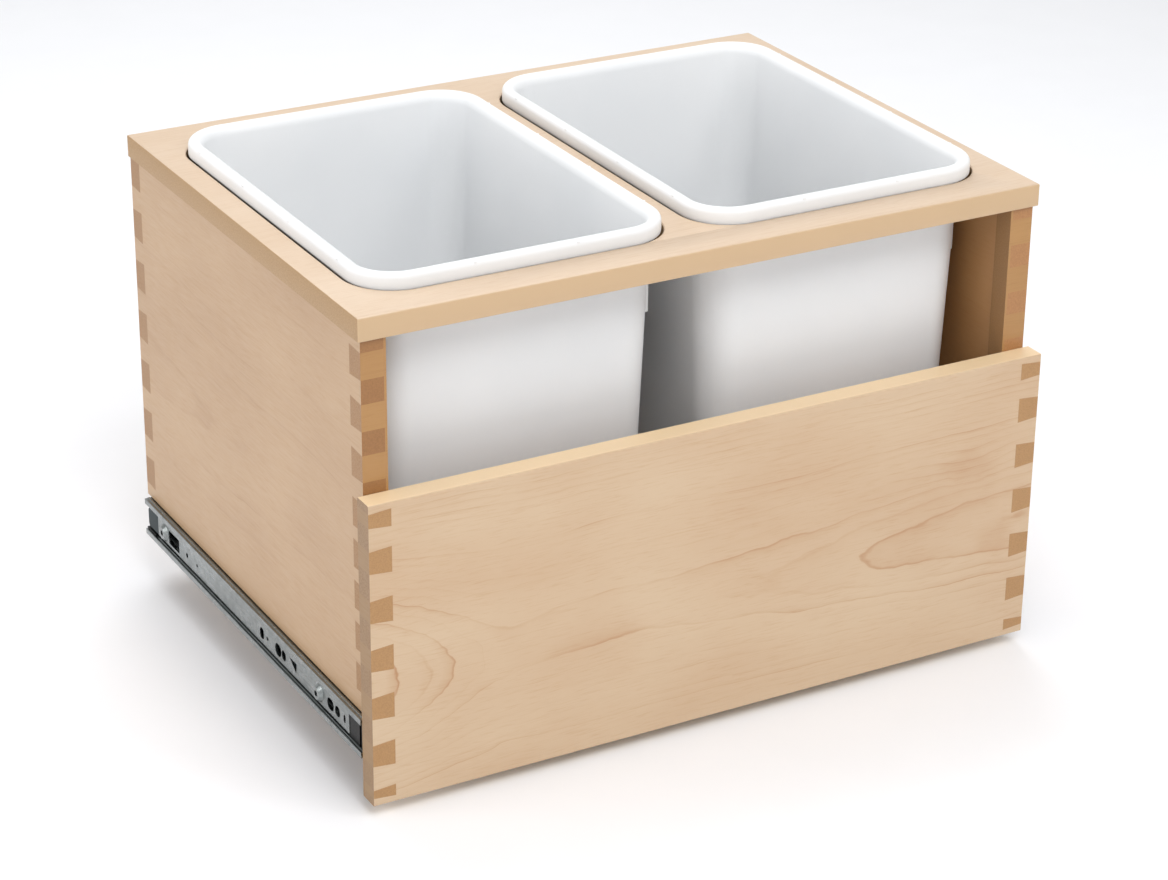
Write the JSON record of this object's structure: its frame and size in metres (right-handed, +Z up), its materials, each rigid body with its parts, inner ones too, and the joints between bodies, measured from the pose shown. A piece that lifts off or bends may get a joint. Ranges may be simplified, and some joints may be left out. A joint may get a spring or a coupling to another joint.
{
  "type": "pull-out waste bin drawer",
  "caption": "Dovetailed wooden drawer that carries lift-out waste bins under a top plate with cut-outs and runs out of a base cabinet on nested ball-bearing slides.",
  "frame": {"origin": "under the middle of the drawer's footprint, at the height of the lower front panel's bottom edge, with the drawer closed", "axes": "+X to the right seen from the front, +Y towards the back of the cabinet, +Z up"},
  "size_m": [0.6148, 0.467, 0.414],
  "materials": {
    "box_maple": "clear satin lacquer",
    "plate_maple": "clear satin lacquer",
    "panel_maple": "clear satin lacquer",
    "bottom_maple": "clear satin lacquer",
    "key_maple": "clear satin lacquer",
    "dowel_beech": "plain",
    "slide_steel": "zinc plated",
    "ball_steel": "polished",
    "screw_steel": "zinc plated",
    "black_plastic": "matt",
    "bumper_rubber": "matt",
    "bin_plastic": "satin"
  },
  "bodies": {
    "cabinet_rails": {"left_cabinet_member": "slide_steel", "right_cabinet_member": "slide_steel", "left_rear_bumper": "bumper_rubber", "right_rear_bumper": "bumper_rubber"},
    "drawer": {"back_board": "box_maple", "front_board": "box_maple", "left_side_board": "box_maple", "right_side_board": "box_maple", "top_plate": "plate_maple", "lower_front_panel": "panel_maple", "bottom_panel": "bottom_maple", "left_end_keys": "key_maple", "right_end_keys": "key_maple", "top_dowels": "dowel_beech", "panel_screws": "screw_steel", "left_slide_screws": "screw_steel", "right_slide_screws": "screw_steel", "left_drawer_member": "slide_steel", "right_drawer_member": "slide_steel", "left_front_stop": "black_plastic", "right_front_stop": "black_plastic"},
    "middle_rails": {"left_middle_member": "slide_steel", "right_middle_member": "slide_steel", "left_front_buffer": "black_plastic", "right_front_buffer": "black_plastic", "left_rear_clip": "black_plastic", "right_rear_clip": "black_plastic"},
    "outer_cages": {"left_outer_cage": "slide_steel", "right_outer_cage": "slide_steel", "left_outer_balls": "ball_steel", "right_outer_balls": "ball_steel"},
    "inner_cages": {"left_inner_cage": "slide_steel", "right_inner_cage": "slide_steel", "left_inner_balls": "ball_steel", "right_inner_balls": "ball_steel"},
    "left_bin": {"left_bin": "bin_plastic"},
    "right_bin": {"right_bin": "bin_plastic"}
  },
  "joints": [
    {"name": "drawer_slide", "type": "slide", "parent": "cabinet_rails", "child": "drawer", "axis": [0, -1, 0], "range_m": [0, 0.43]},
    {"name": "middle_slide", "type": "slide", "parent": "cabinet_rails", "child": "middle_rails", "axis": [0, -1, 0], "range_m": [0, 0.215]},
    {"name": "outer_cage_slide", "type": "slide", "parent": "cabinet_rails", "child": "outer_cages", "axis": [0, -1, 0], "range_m": [0, 0.3225]},
    {"name": "inner_cage_slide", "type": "slide", "parent": "cabinet_rails", "child": "inner_cages", "axis": [0, -1, 0], "range_m": [0, 0.1075]},
    {"name": "left_bin_lift", "type": "slide", "parent": "drawer", "child": "left_bin", "axis": [0, 0, 1], "range_m": [0, 0.34]},
    {"name": "right_bin_lift", "type": "slide", "parent": "drawer", "child": "right_bin", "axis": [0, 0, 1], "range_m": [0, 0.34]}
  ],
  "couplings": [
    {"joint": "middle_slide", "follows": "drawer_slide", "ratio": 0.5},
    {"joint": "outer_cage_slide", "follows": "drawer_slide", "ratio": 0.75},
    {"joint": "inner_cage_slide", "follows": "drawer_slide", "ratio": 0.25}
  ]
}
